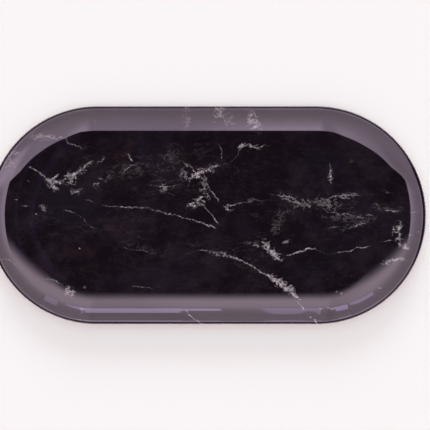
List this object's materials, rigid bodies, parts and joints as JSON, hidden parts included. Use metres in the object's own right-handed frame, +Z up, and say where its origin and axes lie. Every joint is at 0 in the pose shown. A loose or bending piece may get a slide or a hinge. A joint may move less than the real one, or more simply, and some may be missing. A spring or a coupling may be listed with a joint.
{
  "type": "oblong tray",
  "caption": "Narrow round-ended serving tray, dished in one sweep from a flat floor to a wired rim, with a glossy black marble face.",
  "frame": {"origin": "on the table, under the middle of the tray, level with the bottoms of the bumpers", "axes": "+X along the tray's length, +Y across it, +Z up out of its open side"},
  "size_m": [0.301, 0.15, 0.0164],
  "materials": {
    "enamel": "black stoved enamel, satin",
    "marble": "high gloss black marble with pale veins",
    "wire": "drawn steel wire",
    "foot": "matt soft bumper"
  },
  "bodies": {
    "root": {"tray_pan": "enamel", "marble_film": "marble", "rim_wire": "wire", "foot_front_left": "foot", "foot_front_right": "foot", "foot_back_left": "foot", "foot_back_right": "foot"}
  },
  "joints": []
}
